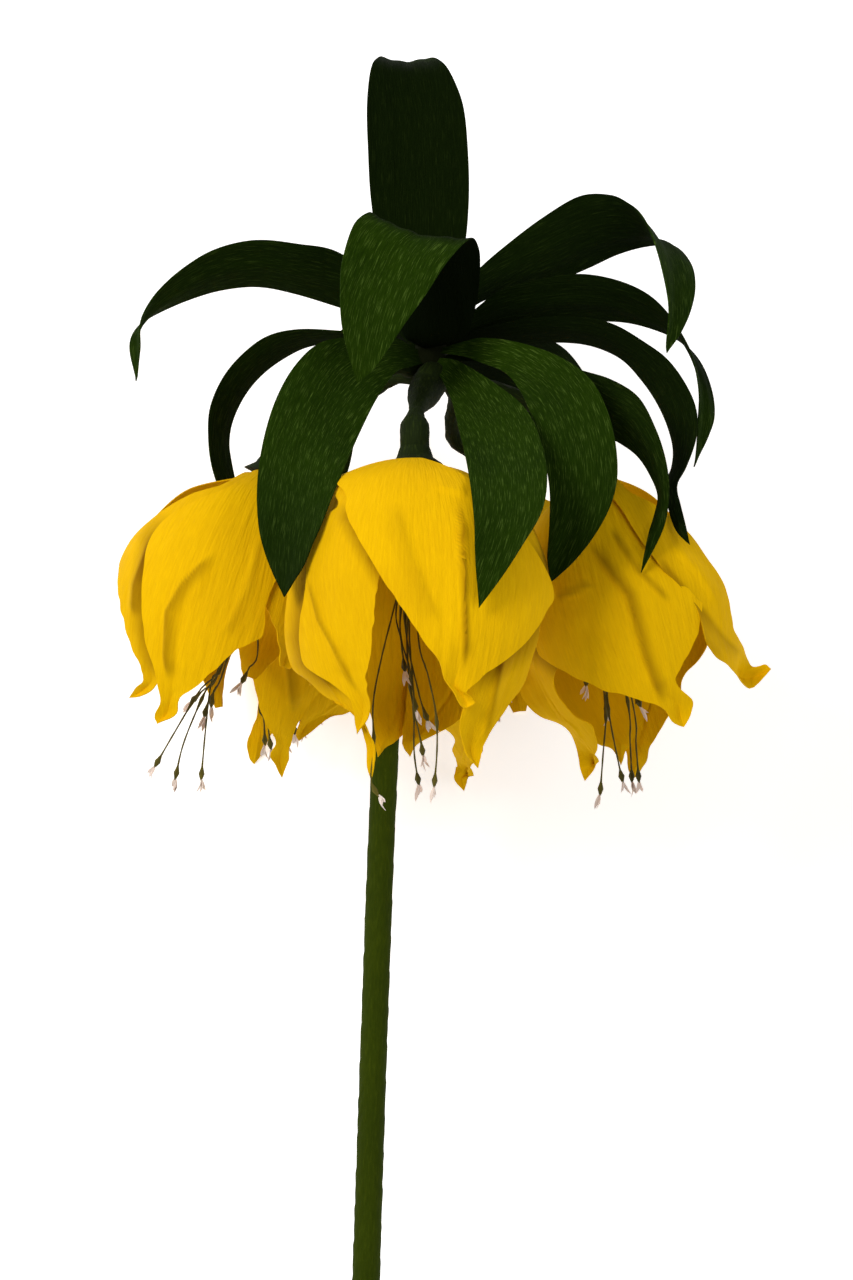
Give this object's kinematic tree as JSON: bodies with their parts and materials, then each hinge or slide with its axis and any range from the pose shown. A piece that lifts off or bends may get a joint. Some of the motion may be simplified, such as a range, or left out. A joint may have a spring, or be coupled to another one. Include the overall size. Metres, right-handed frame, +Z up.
{
  "type": "crown imperial flower",
  "caption": "Cut crown imperial flower, handmade in crepe paper, with yellow hanging bells under a tuft of dark green leaves, lying on its back.",
  "frame": {"origin": "centre of the bounding box in plan, on the surface that the flower rests on", "axes": "+Z up from the surface, +Y along the stem towards the crown of leaves, +X to the right seen from above with the crown at the top"},
  "size_m": [0.2314, 0.4859, 0.2251],
  "materials": {
    "leaf_green": "matte dark green crepe paper, fine grain along the leaf",
    "stem_green": "matte olive green paper wrapping on a rod",
    "petal_yellow": "matte egg-yolk yellow crepe paper with soft creases",
    "stamen_green": "matte olive green thread with pale frayed ends"
  },
  "bodies": {
    "root": {"stem": "stem_green", "leaf_upright": "leaf_green", "leaf_folded_front": "leaf_green", "leaf_left_high": "leaf_green", "leaf_left_low": "leaf_green", "leaf_front_left": "leaf_green", "leaf_front_middle": "leaf_green", "leaf_front_right": "leaf_green", "leaf_right_low": "leaf_green", "leaf_right_middle": "leaf_green", "leaf_right_upper": "leaf_green", "leaf_right_high": "leaf_green", "leaf_back_right": "leaf_green", "leaf_back_left": "leaf_green", "leaf_back_middle": "leaf_green", "bell_front_stalk": "stem_green", "bell_front_stamens": "stamen_green", "bell_front_petal_1": "petal_yellow", "bell_front_petal_2": "petal_yellow", "bell_front_petal_3": "petal_yellow", "bell_front_petal_4": "petal_yellow", "bell_front_petal_5": "petal_yellow", "bell_front_petal_6": "petal_yellow", "bell_left_stalk": "stem_green", "bell_left_stamens": "stamen_green", "bell_left_petal_1": "petal_yellow", "bell_left_petal_2": "petal_yellow", "bell_left_petal_3": "petal_yellow", "bell_left_petal_4": "petal_yellow", "bell_left_petal_5": "petal_yellow", "bell_left_petal_6": "petal_yellow", "bell_right_stalk": "stem_green", "bell_right_stamens": "stamen_green", "bell_right_petal_1": "petal_yellow", "bell_right_petal_2": "petal_yellow", "bell_right_petal_3": "petal_yellow", "bell_right_petal_4": "petal_yellow", "bell_right_petal_5": "petal_yellow", "bell_right_petal_6": "petal_yellow", "bell_back_left_stalk": "stem_green", "bell_back_left_stamens": "stamen_green", "bell_back_left_petal_1": "petal_yellow", "bell_back_left_petal_2": "petal_yellow", "bell_back_left_petal_3": "petal_yellow", "bell_back_left_petal_4": "petal_yellow", "bell_back_left_petal_5": "petal_yellow", "bell_back_left_petal_6": "petal_yellow", "bell_back_right_stalk": "stem_green", "bell_back_right_stamens": "stamen_green", "bell_back_right_petal_1": "petal_yellow", "bell_back_right_petal_2": "petal_yellow", "bell_back_right_petal_3": "petal_yellow", "bell_back_right_petal_4": "petal_yellow", "bell_back_right_petal_5": "petal_yellow", "bell_back_right_petal_6": "petal_yellow"}
  },
  "joints": []
}
